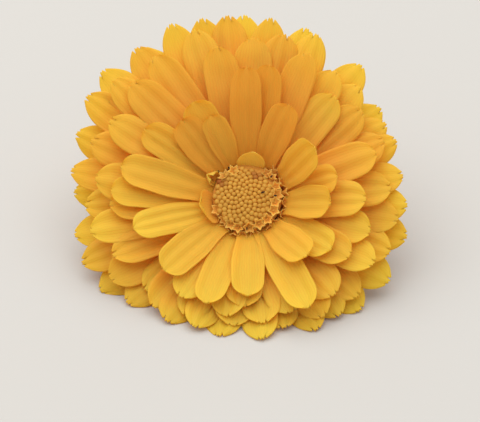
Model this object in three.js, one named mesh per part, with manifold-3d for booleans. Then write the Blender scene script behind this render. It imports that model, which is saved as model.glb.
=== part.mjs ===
// The picked head of a double pot marigold, a yellow calendula.
// It leans on its lower ray florets and on the cut end of its stem.
// Units are millimetres, +Z is up, the surface it lies on is z = 0 and the bloom faces -Y.
import * as THREE from "three";
import { mergeVertices } from "three/addons/utils/BufferGeometryUtils.js";
import Module from "manifold-3d";

const wasm = await Module();
wasm.setup();

// Pose of the head: degrees, and the place of the disc's centre
const HEAD_LEAN = 37;
const HEAD_TURN = -6;
const DISC_CENTRE = new THREE.Vector3(1.75, -3.18, 15.5);

// The head is described round its own axis: radius r, angle round it, height h above the disc's rim.
// Angles run anticlockwise seen from the front, from 0 at the right.

// Ray florets: their widths at claw and tip are shares of the full width
const RAY_THICKNESS = 0.6;
const RAY_SEED = 171;
const CLAW_SHARE = 0.36;
const TIP_SHARE = 0.94;
const BROADEST_ALONG = 0.52;
const RAY_STATIONS = [0, 0.42, 0.82];
const TIP_OUTLINE = [
  { across: -0.8, along: 0.935 },
  { across: -0.36, along: 0.972 },
  { across: 0, along: 1 },
  { across: 0.36, along: 0.972 },
  { across: 0.8, along: 0.935 },
];

// The innermost ray florets one by one, going round from the right
// Each has its angle, length, rise at the root and at the tip, width, and 1 where its neighbours cover it
const INNER_RAYS = [
  [8, 12.6, 50, 24, 7.0, 0],
  [31, 12.8, 56, 34, 6.8, 1],
  [68, 14.4, 46, 26, 6.8, 0],
  [79, 20.4, 36, 18, 6.6, 1],
  [90, 19.0, 40, 16, 6.7, 0],
  [111, 11.0, 44, 20, 5.6, 0],
  [118, 15.4, 38, 24, 7.4, 1],
  [130, 13.4, 42, 18, 6.6, 0],
  [145, 18.0, 36, 14, 7.0, 1],
  [168, 19.0, 32, 12, 7.4, 0],
  [181, 20.0, 30, 10, 7.2, 1],
  [196, 17.0, 30, 14, 6.8, 0],
  [229, 16.4, 30, 14, 7.4, 0],
  [251, 18.0, 28, 12, 7.3, 0],
  [270, 15.0, 30, 14, 7.1, 1],
  [297, 21.0, 28, 10, 8.2, 0],
  [311, 13.4, 34, 18, 7.4, 1],
  [328, 14.0, 38, 20, 7.4, 0],
  [352, 12.0, 44, 24, 7.2, 1],
];
const INNER_ROOT = { radius: 8.0, height: -1.9, drop: 0.7 };

// Two short ray florets that stand up beside the disc, in the same columns as the innermost ones
const SHORT_RAYS = [
  [88, 3.6, 70, 50, 6.2, 0],
  [184, 3.4, 46, 58, 9.0, 0],
];

// The ray florets under them stand on a spiral, each turned by the golden angle from the one before
// Their sizes run from the first, just under the innermost ones, to the last, which faces the surface
const SPIRAL_COUNT = 75;
const SPIRAL_FIRST = {
  radius: 7.2,
  height: -2.9,
  length: 20.8,
  rise: 29,
  tipRise: 10,
  width: 7.9,
  cup: 0.12,
};
const SPIRAL_LAST = {
  radius: 7.0,
  height: -6.5,
  length: 28.9,
  rise: 12,
  tipRise: -4,
  width: 8.3,
  cup: -0.1,
};
const GOLDEN_ANGLE = 180 * (3 - Math.sqrt(5));

// A blade's cup is how far its edges curl up, as a share of its half width
// Its middle surface crosses the flat one where "across" squared has the level given here
const INNER_CUP = 0.18;
const CUP_LEVEL = 0.4;

// How far the ray florets differ from their rule
const LENGTH_SPREAD = 0.045;
const RISE_SPREAD = 3;
const ROLL_SPREAD = 9;
const WIDTH_SPREAD = 0.07;
const ANGLE_SPREAD = 2.5;

// Rays reach further on the side where the first angle points, and the head is a little oval
// along the second angle
const LONG_SIDE = 115;
const LONG_SHARE = 0.15;
const OVAL_SIDE = 124;
const OVAL_SHARE = 0.05;

// The last rays at the top of the head stand this many degrees steeper, and those at the bottom sag as much
const SAG = 5;

// The surface bends the lower ray florets up until they clear it, stacked one over another
// The last of them lie on it, so they dip a little under z = 0 and are cut flat there
const RAISE_STEP = { root: 0.25, tip: 0.6 };
const REST_DIP = 0.4;
const RESTING_SHARE = 0.2;
const STACK_HEIGHT = 4;
const GROUND_SIZE = 200;

// Fleshy middle that the ray florets grow from: radius and height up its outline
const CORE_OUTLINE = [
  [0, -7.7], [7.2, -7.7], [8.6, -5.8], [9.0, -3.0], [8.7, -1.5],
  [8.0, -1.1], [7.5, -1.4], [7.5, -2.6], [0, -2.6],
];
const CORE_SIDES = 18;

// Domed middle of the head that the disc florets grow from
const DISC_OUTLINE = [
  [0, -2.3], [7.0, -2.3], [7.2, -0.6], [6.9, 0.3], [5.5, 1.0], [3.2, 1.5], [0, 1.75],
];
const DISC_TOP_FIRST = 2;
const DISC_SIDES = 18;
const ROOT_DEPTH = 0.6;

// Disc florets still in bud, on a spiral; they lean outwards, so many degrees for each millimetre of radius
const BUD_COUNT = 110;
const BUD_FIELD = 5.5;
const BUD_SPREAD_POWER = 0.54;
const BUD_RADIUS = { centre: 0.44, rim: 0.54 };
const BUD_SIDES = 5;
const BUD_RISE = { ring: -0.15, top: 0.6 };
const BUD_LEAN = 3;

// Open disc florets round them, in two rings, each with a dimpled star of lobes for its mouth
const OPEN_COUNT = 26;
const OPEN_RINGS = [5.95, 6.75];
const OPEN_LOBES = 5;
const OPEN_RADIUS = { lobe: 0.95, notch: 0.52 };
const OPEN_HEIGHT = 1.0;
const OPEN_DIMPLE = 0.35;
const OPEN_LEAN = 18;

// Green cup under the head, with its narrow bracts
const CUP_OUTLINE = [
  [0, -12.1], [3.4, -11.9], [6.4, -10.6], [7.6, -8.8], [7.0, -8.0], [0, -8.0],
];
const CUP_SIDES = 16;
const BRACT_ROWS = [
  { count: 12, radius: 5.9, height: -9.5, length: 9.4, rise: 20, tipRise: 8, width: 2.6 },
  { count: 12, radius: 5.2, height: -10.7, length: 9.0, rise: 18, tipRise: 6, width: 2.4 },
];
const BRACT_THICKNESS = 0.7;
const BRACT_STATIONS = [0, 0.55];
const BRACT_SEED = 905;
const BRACT_CLEARANCE = 0.5;
const BRACT_SPREAD = { length: 0.06, rise: 2 };
const BRACT_CUP = -0.05;
const BRACT_TAPER = 0.55;

// Cut stem
const STEM_RADIUS = 2.0;
const STEM_GROOVE = 0.22;
const STEM_RIBS = 7;
const STEM_TOP = -12.4;
const STEM_BOTTOM = -18.2;

const UP = new THREE.Vector3(0, 0, 1);
const headMatrix = new THREE.Matrix4()
  .makeTranslation(DISC_CENTRE)
  .multiply(new THREE.Matrix4().makeRotationZ(THREE.MathUtils.degToRad(HEAD_TURN)))
  .multiply(new THREE.Matrix4().makeRotationX(THREE.MathUtils.degToRad(HEAD_LEAN)));

// Seeded draws between 0 and 1
function makeRandom(seed) {
  const factor = 16807;
  const modulus = 2147483647;
  let state = seed;
  return () => {
    state = (state * factor) % modulus;
    return state / modulus;
  };
}

function smooth(start, end, value) {
  return THREE.MathUtils.smoothstep(value, start, end);
}

// A closed geometry as a solid that can be joined and cut
function toSolid(geometry) {
  geometry.deleteAttribute("normal");
  geometry.deleteAttribute("uv");
  const merged = mergeVertices(geometry);
  return new wasm.Manifold(new wasm.Mesh({
    numProp: 3,
    vertProperties: new Float32Array(merged.attributes.position.array),
    triVerts: new Uint32Array(merged.index.array),
  }));
}

// The largest body of a joined solid, without sealed hollows or loose scraps
function oneBody(solid) {
  const bodies = solid.decompose();
  return bodies.reduce((largest, body) => (body.volume() > largest.volume() ? body : largest));
}

function joined(solids) {
  return solids.reduce((sum, solid) => sum.add(solid));
}

function toMesh(solid, name, colour, roughness) {
  const { vertProperties, triVerts } = solid.getMesh();
  const geometry = new THREE.BufferGeometry();
  geometry.setAttribute("position", new THREE.BufferAttribute(new Float32Array(vertProperties), 3));
  geometry.setIndex(new THREE.BufferAttribute(new Uint32Array(triVerts), 1));
  geometry.computeVertexNormals();
  const mesh = new THREE.Mesh(
    geometry,
    new THREE.MeshStandardMaterial({ color: colour, roughness, metalness: 0 }),
  );
  mesh.name = name;
  return mesh;
}

// A turned shape round the head's axis
function turned(outline, sides) {
  const points = outline.map(([radius, height]) => new THREE.Vector2(radius, height));
  const geometry = new THREE.LatheGeometry(points, sides);
  geometry.rotateX(Math.PI / 2);
  return toSolid(geometry);
}

// A point and its cross directions on a blade's middle line
// The line leaves its root at the angle "rise" over the disc's plane and ends at "tipRise"
function bladeFrame(blade, along) {
  const start = THREE.MathUtils.degToRad(blade.rise);
  const turn = THREE.MathUtils.degToRad(blade.tipRise - blade.rise);
  const angle = start + turn * along;
  const outward = (blade.length / turn) * (Math.sin(angle) - Math.sin(start));
  const upward = (blade.length / turn) * (Math.cos(start) - Math.cos(angle));
  const azimuth = THREE.MathUtils.degToRad(blade.azimuth);
  const radial = new THREE.Vector3(Math.cos(azimuth), Math.sin(azimuth), 0);
  const side = new THREE.Vector3(-Math.sin(azimuth), Math.cos(azimuth), 0);
  const normal = radial.clone().multiplyScalar(-Math.sin(angle)).addScaledVector(UP, Math.cos(angle));
  const roll = THREE.MathUtils.degToRad(blade.roll) * along;
  const point = radial.clone()
    .multiplyScalar(blade.radius + outward)
    .addScaledVector(UP, blade.height + upward);
  return {
    point,
    side: side.clone().multiplyScalar(Math.cos(roll)).addScaledVector(normal, Math.sin(roll)),
    normal: normal.clone().multiplyScalar(Math.cos(roll)).addScaledVector(side, -Math.sin(roll)),
  };
}

// A point of the blade's middle surface: "across" is -1 at one edge and 1 at the other
function bladePoint(blade, across, along) {
  const { point, side, normal } = bladeFrame(blade, along);
  const half = blade.halfWidth(along);
  return {
    point: point.clone()
      .addScaledVector(side, across * half)
      .addScaledVector(normal, blade.cup * half * (across * across - CUP_LEVEL)),
    normal,
  };
}

// A ray floret is narrow at its claw, broad past the middle and slightly narrower at its tip
function rayHalfWidth(width) {
  return (along) => {
    const claw = CLAW_SHARE + (1 - CLAW_SHARE) * smooth(0, BROADEST_ALONG, along);
    const tip = 1 - (1 - TIP_SHARE) * smooth(BROADEST_ALONG, 1, along);
    return (width / 2) * claw * tip;
  };
}

// Rows of points across a blade, closed into a thin solid
// A point of the middle surface becomes two, one on each face, and both faces are split alike
function bladeSolid(rows, thickness) {
  const positions = [];
  const starts = [];
  let count = 0;
  rows.forEach((row) => {
    starts.push(count);
    count += row.length;
    row.forEach(({ point, normal }) => {
      const above = point.clone().addScaledVector(normal, thickness / 2);
      const below = point.clone().addScaledVector(normal, -thickness / 2);
      positions.push(...above.toArray(), ...below.toArray());
    });
  });
  const index = [];
  const bothFaces = (a, b, c) => {
    index.push(2 * a, 2 * b, 2 * c, 2 * a + 1, 2 * c + 1, 2 * b + 1);
  };
  for (let r = 0; r + 1 < rows.length; r += 1) {
    const lastNear = rows[r].length - 1;
    const lastFar = rows[r + 1].length - 1;
    let near = 0;
    let far = 0;
    while (near < lastNear || far < lastFar) {
      const nextNear = near < lastNear ? (near + 1) / lastNear : Infinity;
      const nextFar = far < lastFar ? (far + 1) / lastFar : Infinity;
      if (nextNear <= nextFar) {
        bothFaces(starts[r] + near, starts[r + 1] + far, starts[r] + near + 1);
        near += 1;
      } else {
        bothFaces(starts[r] + near, starts[r + 1] + far, starts[r + 1] + far + 1);
        far += 1;
      }
    }
  }
  const lastRow = rows.length - 1;
  const border = [
    ...rows.map((row, r) => starts[r]),
    ...rows[lastRow].slice(1).map((point, k) => starts[lastRow] + k + 1),
    ...rows.slice(0, lastRow).map((row, r) => starts[r] + row.length - 1).reverse(),
    ...rows[0].slice(1, -1).map((point, k) => starts[0] + k + 1).reverse(),
  ];
  border.forEach((from, k) => {
    const to = border[(k + 1) % border.length];
    if (from !== to) {
      index.push(2 * from, 2 * from + 1, 2 * to + 1, 2 * from, 2 * to + 1, 2 * to);
    }
  });
  const geometry = new THREE.BufferGeometry();
  geometry.setAttribute("position", new THREE.BufferAttribute(new Float32Array(positions), 3));
  geometry.setIndex(index);
  geometry.applyMatrix4(headMatrix);
  return toSolid(geometry);
}

// Three points across a blade: at one edge, in the middle and at the other edge
function crossRow(along) {
  return [-1, 0, 1].map((across) => ({ across, along }));
}

function raySolid(ray) {
  const outlines = [...RAY_STATIONS.map(crossRow), TIP_OUTLINE];
  const rows = outlines.map((row) => row.map(({ across, along }) => bladePoint(ray, across, along)));
  return bladeSolid(rows, RAY_THICKNESS);
}

function bractSolid(bract) {
  const outlines = [...BRACT_STATIONS.map(crossRow), [{ across: 0, along: 1 }]];
  const rows = outlines.map((row) => row.map(({ across, along }) => bladePoint(bract, across, along)));
  return bladeSolid(rows, BRACT_THICKNESS);
}

// The blade's lowest point over the surface
function lowestPoint(blade, thickness) {
  const stations = RAY_STATIONS.slice(1).flatMap(crossRow);
  const heights = [...stations, ...TIP_OUTLINE].map(({ across, along }) => {
    const { point, normal } = bladePoint(blade, across, along);
    return point.addScaledVector(normal, -thickness / 2).applyMatrix4(headMatrix).z;
  });
  return Math.min(...heights);
}

function raiseOver(blade, thickness, clearance) {
  while (lowestPoint(blade, thickness) < clearance) {
    blade.rise += RAISE_STEP.root;
    blade.tipRise += RAISE_STEP.tip;
  }
  return blade;
}

function listedRays(list) {
  return list.map(([azimuth, length, rise, tipRise, width, level]) => ({
    azimuth,
    length,
    rise,
    tipRise,
    roll: 0,
    radius: INNER_ROOT.radius,
    height: INNER_ROOT.height - INNER_ROOT.drop * level,
    cup: INNER_CUP,
    halfWidth: rayHalfWidth(width),
  }));
}

function spiralRay(k, vary) {
  const share = k / (SPIRAL_COUNT - 1);
  const between = (key, part = share) => THREE.MathUtils.lerp(SPIRAL_FIRST[key], SPIRAL_LAST[key], part);
  const azimuth = k * GOLDEN_ANGLE + vary(ANGLE_SPREAD);
  const oval = OVAL_SHARE * Math.cos(2 * THREE.MathUtils.degToRad(azimuth - OVAL_SIDE));
  const longSide = 1 + LONG_SHARE * Math.cos(THREE.MathUtils.degToRad(azimuth - LONG_SIDE)) + oval;
  const lift = SAG * share * Math.sin(THREE.MathUtils.degToRad(azimuth)) + vary(RISE_SPREAD);
  return {
    azimuth,
    length: between("length", 1 - (1 - share) ** 2) * longSide * (1 + vary(LENGTH_SPREAD)),
    rise: between("rise") + lift,
    tipRise: between("tipRise") + lift + vary(RISE_SPREAD),
    roll: vary(ROLL_SPREAD),
    radius: between("radius"),
    height: between("height"),
    cup: between("cup"),
    halfWidth: rayHalfWidth(between("width") * (1 + vary(WIDTH_SPREAD))),
  };
}

function allRays() {
  const random = makeRandom(RAY_SEED);
  const vary = (spread) => spread * (2 * random() - 1);
  const inner = listedRays([...INNER_RAYS, ...SHORT_RAYS]);
  inner.forEach((ray) => {
    ray.roll = vary(ROLL_SPREAD);
    raiseOver(ray, RAY_THICKNESS, STACK_HEIGHT);
  });
  const spiral = Array.from({ length: SPIRAL_COUNT }, (unused, k) => {
    const share = k / (SPIRAL_COUNT - 1);
    const clearance = STACK_HEIGHT * Math.max(0, 1 - RESTING_SHARE - share) - REST_DIP;
    return raiseOver(spiralRay(k, vary), RAY_THICKNESS, clearance);
  });
  return [...inner, ...spiral];
}

// A block that reaches up to the surface, to cut the contact spots flat
function groundBlock() {
  const box = new THREE.BoxGeometry(GROUND_SIZE, GROUND_SIZE, GROUND_SIZE);
  box.translate(0, 0, -GROUND_SIZE / 2);
  return toSolid(box);
}

const ground = groundBlock();

function rayFlorets() {
  const core = turned(CORE_OUTLINE, CORE_SIDES).transform(headMatrix.elements);
  const solids = [core, ...allRays().map(raySolid)];
  return toMesh(oneBody(joined(solids).subtract(ground)), "ray_florets", "#f2b81c", 0.62);
}

// Where the disc's top lies at a radius, read off its outline
function discHeight(radius) {
  const top = DISC_OUTLINE.slice(DISC_TOP_FIRST).reverse();
  const next = Math.max(1, top.findIndex(([r]) => r >= radius));
  const [r0, h0] = top[next - 1];
  const [r1, h1] = top[next];
  return h0 + ((h1 - h0) * (radius - r0)) / (r1 - r0);
}

// A ring of points that meets one point below and one above
function spindle(radii, heights) {
  const sides = radii.length;
  const positions = [0, 0, heights.bottom, 0, 0, heights.top];
  const index = [];
  radii.forEach((radius, k) => {
    const angle = (2 * Math.PI * k) / sides;
    positions.push(radius * Math.cos(angle), radius * Math.sin(angle), heights.ring);
    const here = 2 + k;
    const next = 2 + ((k + 1) % sides);
    index.push(0, next, here, 1, here, next);
  });
  const geometry = new THREE.BufferGeometry();
  geometry.setAttribute("position", new THREE.BufferAttribute(new Float32Array(positions), 3));
  geometry.setIndex(index);
  return geometry;
}

// Stands a small geometry on the disc, leaning outwards
function onDisc(geometry, radius, azimuth, lean) {
  const tilt = new THREE.Matrix4().makeRotationY(THREE.MathUtils.degToRad(lean));
  const spin = new THREE.Matrix4().makeRotationZ(THREE.MathUtils.degToRad(azimuth));
  geometry.applyMatrix4(tilt);
  geometry.translate(radius, 0, discHeight(radius));
  geometry.applyMatrix4(spin);
  return toSolid(geometry);
}

function discFlorets() {
  const solids = [turned(DISC_OUTLINE, DISC_SIDES)];
  for (let k = 0; k < BUD_COUNT; k += 1) {
    const share = (k + 0.5) / BUD_COUNT;
    const radius = BUD_FIELD * share ** BUD_SPREAD_POWER;
    const size = THREE.MathUtils.lerp(BUD_RADIUS.centre, BUD_RADIUS.rim, share);
    const heights = { bottom: -ROOT_DEPTH, ring: BUD_RISE.ring, top: BUD_RISE.top };
    const bud = spindle(Array(BUD_SIDES).fill(size), heights);
    solids.push(onDisc(bud, radius, k * GOLDEN_ANGLE, BUD_LEAN * radius));
  }
  const mouth = Array(OPEN_LOBES).fill([OPEN_RADIUS.lobe, OPEN_RADIUS.notch]).flat();
  for (let k = 0; k < OPEN_COUNT; k += 1) {
    const heights = { bottom: -ROOT_DEPTH, ring: OPEN_HEIGHT, top: OPEN_HEIGHT - OPEN_DIMPLE };
    const floret = spindle(mouth, heights);
    solids.push(onDisc(floret, OPEN_RINGS[k % 2], (360 * k) / OPEN_COUNT, OPEN_LEAN));
  }
  const disc = joined(solids).transform(headMatrix.elements);
  return toMesh(oneBody(disc), "disc_florets", "#d99a2b", 0.7);
}

// Bract number k of its row; the second row's bracts stand between those of the first
function bractBlade(row, rowNumber, k, vary) {
  return {
    azimuth: (360 / row.count) * (k + rowNumber / BRACT_ROWS.length),
    length: row.length * (1 + vary(BRACT_SPREAD.length)),
    rise: row.rise,
    tipRise: row.tipRise + vary(BRACT_SPREAD.rise),
    roll: 0,
    radius: row.radius,
    height: row.height,
    cup: BRACT_CUP,
    halfWidth: (along) => (row.width / 2) * (1 - BRACT_TAPER * along),
  };
}

function involucre() {
  const random = makeRandom(BRACT_SEED);
  const vary = (spread) => spread * (2 * random() - 1);
  const solids = [turned(CUP_OUTLINE, CUP_SIDES).transform(headMatrix.elements)];
  BRACT_ROWS.forEach((row, rowNumber) => {
    for (let k = 0; k < row.count; k += 1) {
      const bract = bractBlade(row, rowNumber, k, vary);
      solids.push(bractSolid(raiseOver(bract, BRACT_THICKNESS, BRACT_CLEARANCE)));
    }
  });
  return toMesh(oneBody(joined(solids).subtract(ground)), "involucre", "#6f8a3a", 0.75);
}

function stem() {
  const outline = Array.from({ length: 2 * STEM_RIBS }, (unused, k) => {
    const angle = (Math.PI * k) / STEM_RIBS;
    const radius = STEM_RADIUS - STEM_GROOVE * (k % 2);
    return new THREE.Vector2(radius * Math.cos(angle), radius * Math.sin(angle));
  });
  const geometry = new THREE.ExtrudeGeometry(new THREE.Shape(outline), {
    depth: STEM_TOP - STEM_BOTTOM,
    bevelEnabled: false,
  });
  geometry.translate(0, 0, STEM_BOTTOM);
  const stalk = toSolid(geometry).transform(headMatrix.elements).subtract(ground);
  return toMesh(oneBody(stalk), "stem", "#7c9148", 0.75);
}

const marigold = new THREE.Group();
marigold.add(stem(), involucre(), rayFlorets(), discFlorets());

export default marigold;
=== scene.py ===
# %% [markdown]
# A yellow pot marigold, picked and laid down so that it leans back and looks at us. A real head is a
# fleshy cushion. Strap-shaped ray florets grow from its side in many layers, small tubular florets cover
# its top, and a green cup of bracts holds it from below on a short ribbed stem. The solid model has all
# of these as thick plain forms. This script makes each again as thin, creased and coloured as it really
# is. Shapes are made in millimetres, in a frame where +Z is the head's own axis.

# %% Load the frame
import math
from dataclasses import dataclass
from typing import Callable

import bmesh
import bpy
from mathutils import Euler, Matrix, Vector


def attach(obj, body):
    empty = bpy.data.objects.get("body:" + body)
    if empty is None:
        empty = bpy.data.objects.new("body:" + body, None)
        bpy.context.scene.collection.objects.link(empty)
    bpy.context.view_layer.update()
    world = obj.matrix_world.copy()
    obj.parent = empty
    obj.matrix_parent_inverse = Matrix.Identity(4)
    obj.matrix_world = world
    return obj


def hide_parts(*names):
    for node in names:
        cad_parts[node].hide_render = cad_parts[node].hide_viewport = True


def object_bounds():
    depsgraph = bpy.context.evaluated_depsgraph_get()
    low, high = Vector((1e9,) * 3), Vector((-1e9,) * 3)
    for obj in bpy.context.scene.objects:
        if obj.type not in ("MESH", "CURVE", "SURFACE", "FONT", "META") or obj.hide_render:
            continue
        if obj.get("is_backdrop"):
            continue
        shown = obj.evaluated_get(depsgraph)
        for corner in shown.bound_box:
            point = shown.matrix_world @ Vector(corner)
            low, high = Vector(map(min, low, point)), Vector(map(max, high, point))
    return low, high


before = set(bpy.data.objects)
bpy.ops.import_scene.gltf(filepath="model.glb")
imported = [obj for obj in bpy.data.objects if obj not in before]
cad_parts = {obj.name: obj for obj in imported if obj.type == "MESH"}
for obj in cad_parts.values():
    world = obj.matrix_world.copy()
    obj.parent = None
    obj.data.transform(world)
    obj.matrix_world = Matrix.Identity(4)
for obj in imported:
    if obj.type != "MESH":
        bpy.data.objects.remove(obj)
solid_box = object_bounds()
print("solids:", sorted(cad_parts))

# %% [markdown]
# The head leans back by 37 degrees and is turned a little to its side. It could be modelled leaning, but
# it is far easier to build upright, so one matrix holds the pose and lays things down. Blender works in
# metres, and the last step of each piece shrinks it.

# %% The pose of the head
MM = 0.001
LEAN = math.radians(37)
TURN = math.radians(-6)
DISC_CENTRE = Vector((1.75, -3.18, 15.5))
HEAD = Matrix.Translation(DISC_CENTRE) @ Euler((LEAN, 0, TURN)).to_matrix().to_4x4()
print("the head's axis points to", [round(x, 2) for x in HEAD.col[2][:3]])

# %% [markdown]
# Four small helpers serve the whole script. The first adds a node: an input may be a plain value, a node,
# whose first output is then used, or a socket. The second turns a hex colour as a picture shows it into
# the linear numbers that Blender reckons with. The third draws numbers that come out the same on every
# run. The last passes softly from 0 to 1.

# %% Helpers
# The factor and the prime of a common way to draw evenly spread numbers
DRAW_FACTOR = 16807
DRAW_PRIME = 2147483647


def add(tree, kind, inputs=None, **settings):
    """One node with its settings, its fixed inputs and its links."""
    made = tree.nodes.new(kind)
    for key, value in settings.items():
        setattr(made, key, value)
    for key, value in (inputs or {}).items():
        if isinstance(value, bpy.types.Node):
            value = value.outputs[0]
        if isinstance(value, bpy.types.NodeSocket):
            tree.links.new(value, made.inputs[key])
        else:
            made.inputs[key].default_value = value
    return made


def linear(hex_colour):
    """A colour such as #f2b81c as linear red, green, blue and alpha."""
    shares = [int(hex_colour[k:k + 2], 16) / 255 for k in (1, 3, 5)]
    return (*[s / 12.92 if s <= 0.04045 else ((s + 0.055) / 1.055) ** 2.4 for s in shares], 1.0)


def draws(seed):
    """A function that gives the next seeded number between -spread and spread."""
    state = [seed]

    def draw(spread=1.0):
        state[0] = state[0] * DRAW_FACTOR % DRAW_PRIME
        return spread * (2 * state[0] / DRAW_PRIME - 1)

    return draw


def smooth(start, end, value):
    """0 before start, 1 after end, and a soft passage between them."""
    share = min(1.0, max(0.0, (value - start) / (end - start)))
    return share * share * (3 - 2 * share)


print("petal yellow in linear light:", [round(part, 2) for part in linear("#fbe14d")])

# %% [markdown]
# A finished piece is a plain mesh at the origin. It is shrunk to metres, given its material and tied to
# the body, and the solid that it replaces is hidden.

# %% Finish a piece
def as_piece(name, mesh, material, node, lay_down=True):
    if lay_down:
        mesh.transform(HEAD)
    mesh.transform(Matrix.Scale(MM, 4))
    mesh.materials.clear()
    mesh.materials.append(material)
    mesh.shade_smooth()
    piece = bpy.data.objects.new(name, mesh)
    bpy.context.collection.objects.link(piece)
    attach(piece, "root")
    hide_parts(node)
    mesh.calc_loop_triangles()
    print(name, len(mesh.loop_triangles), "triangles")


# %% [markdown]
# A ray floret and a bract are the same kind of thing: a flat blank bent along an arc. The arc leaves its
# root at one angle over the disc's plane, the rise, and ends at another. Sculpting a hundred of them
# would take days, so these few lines say where any point of a blade's underside lies. The nodes further
# down repeat them for every point, and here they serve to keep blades off the surface.

# %% The rule of a blade
# A curled section crosses its flat one where the square of the share across is this
CUP_LEVEL = 0.4
# A ray floret's width at its claw and its tip, as shares of its full width, and where along it is broadest
CLAW_SHARE = 0.36
TIP_SHARE = 0.94
BROADEST_ALONG = 0.52


def ray_outline(along, claw=CLAW_SHARE):
    """A ray floret's width at a share of its length, as a share of its full width."""
    widening = claw + (1 - claw) * smooth(0, BROADEST_ALONG, along)
    return widening * (1 - (1 - TIP_SHARE) * smooth(BROADEST_ALONG, 1, along))


@dataclass
class Blade:
    """Angles in degrees and lengths in millimetres. The thickness is that of the solid."""
    azimuth: float
    length: float
    rise: float
    tip_rise: float
    width: float
    radius: float
    height: float
    cup: float
    roll: float = 0.0
    pale: float = 0.0
    deep: float = 0.0
    thickness: float = 0.6
    outline: Callable = ray_outline


def blade_underside(blade, across, along):
    """A point of the blade's underside in the laid-down frame, in millimetres."""
    start = math.radians(blade.rise)
    turn = math.radians(blade.tip_rise - blade.rise)
    angle = start + turn * along
    outward = blade.radius + blade.length / turn * (math.sin(angle) - math.sin(start))
    upward = blade.height + blade.length / turn * (math.cos(start) - math.cos(angle))
    half = blade.width / 2 * blade.outline(along)
    bend = blade.cup * half * (across * across - CUP_LEVEL) - blade.thickness / 2
    rolled = Matrix.Rotation(math.radians(blade.roll) * along, 3, "X") @ Vector((0, across * half, bend))
    point = Vector((outward, 0, upward)) + Matrix.Rotation(-angle, 3, "Y") @ rolled
    return HEAD @ (Matrix.Rotation(math.radians(blade.azimuth), 3, "Z") @ point)


print("the tip is", TIP_SHARE, "and the claw", CLAW_SHARE, "of the full width")

# %% [markdown]
# The surface stops the lower blades. A cloth simulation could press them on it, but that is slow and hard
# to steer. So each blade is bent up in small steps until its lowest point is clear.

# %% Bend blades up over the surface
# Where a blade's height is measured: shares across and along, on two lines and round the tip
PROBES = [(a, s) for s in (0.42, 0.82) for a in (-1, 0, 1)]
PROBES += [(-0.8, 0.935), (-0.36, 0.972), (0, 1), (0.36, 0.972), (0.8, 0.935)]
ROOT_STEP = 0.25
TIP_STEP = 0.6


def raise_over(blade, clearance):
    while min(blade_underside(blade, across, along).z for across, along in PROBES) < clearance:
        blade.rise += ROOT_STEP
        blade.tip_rise += TIP_STEP
    return blade


print(len(PROBES), "points of each blade are kept clear")

# %% [markdown]
# The innermost ray florets are short and differ a lot, so they were set one by one after the photo, and
# so were two still shorter ones beside the disc. A rule would be quicker, but this ring is what the eye
# sees first. Seeded draws come in the same order as in the solid model, so each floret is rolled to its
# side as its solid is.

# %% Places of the inner ray florets
RAY_SEED = 171
STACK_HEIGHT = 4
INNER_ROOT_RADIUS = 8.0
INNER_ROOT_HEIGHT = -1.9
COVERED_DROP = 0.7
INNER_CUP = 0.18
ROLL_SPREAD = 9
# Angle round the disc, length, rise at the root and at the tip, width, and 1 where its neighbours cover it
INNER_RAYS = [
    (12, 12.6, 46, 20, 7.0, 1),
    (31, 12.4, 62, 44, 7.6, 0),
    (68, 13.8, 46, 26, 6.8, 0),
    (82, 20.4, 36, 18, 6.6, 1),
    (95, 19.4, 40, 16, 6.7, 0),
    (118, 11.0, 44, 20, 5.6, 0),
    (125, 15.4, 38, 24, 7.4, 1),
    (138, 13.4, 40, 16, 7.0, 0),
    (151, 18.0, 36, 14, 7.0, 1),
    (175, 19.0, 32, 12, 7.4, 0),
    (183, 20.4, 30, 10, 7.2, 1),
    (204, 17.0, 30, 14, 6.8, 0),
    (229, 16.4, 30, 14, 7.4, 0),
    (256, 18.2, 28, 12, 6.8, 1),
    (276, 15.2, 31, 14, 6.8, 0),
    (301, 21.0, 28, 10, 7.2, 0),
    (313, 12.8, 40, 22, 7.0, 0),
    (327, 14.4, 34, 16, 7.4, 1),
    (354, 11.4, 46, 26, 7.2, 0),
]
SHORT_RAYS = [
    (88, 3.6, 70, 50, 6.2, 0),
    (201, 4.6, 44, 56, 8.0, 0),
]


def inner_rays(draw):
    rays = []
    for azimuth, length, rise, tip_rise, width, covered in INNER_RAYS + SHORT_RAYS:
        height = INNER_ROOT_HEIGHT - COVERED_DROP * covered
        ray = Blade(azimuth, length, rise, tip_rise, width, INNER_ROOT_RADIUS, height, INNER_CUP)
        ray.roll = draw(ROLL_SPREAD)
        rays.append(raise_over(ray, STACK_HEIGHT))
    return rays


draw_ray = draws(RAY_SEED)
INNER = inner_rays(draw_ray)
print(len(INNER), "ray florets were set by hand")

# %% [markdown]
# All the others follow the spiral that plants use: each is turned by the golden angle from the one
# before, so that none lies right over another. From the first to the last they grow longer and flatter,
# and the head is a little oval and longer on one side. Small draws keep them from looking counted out.

# %% Places of the spiral ray florets
SPIRAL_COUNT = 75
GOLDEN_ANGLE = 180 * (3 - math.sqrt(5))
# First and last of the spiral: root radius and height, length, rise at root and tip, width, cup
SPIRAL_FIRST = (7.2, -2.9, 20.8, 29, 10, 7.9, 0.12)
SPIRAL_LAST = (7.0, -6.5, 28.9, 12, -4, 8.3, -0.1)
LONG_SIDE = math.radians(115)
LONG_SHARE = 0.15
OVAL_SIDE = math.radians(124)
OVAL_SHARE = 0.05
SAG = 5
ANGLE_SPREAD = 2.5
RISE_SPREAD = 3
LENGTH_SPREAD = 0.045
WIDTH_SPREAD = 0.07
# How deep the first spiral floret lies, from 0 for the inner ring to 1 for the last: deeper ones get more
# painted amber glow at the root
DEEP_FIRST = 0.4
RESTING_SHARE = 0.2
REST_DIP = 0.4


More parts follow.
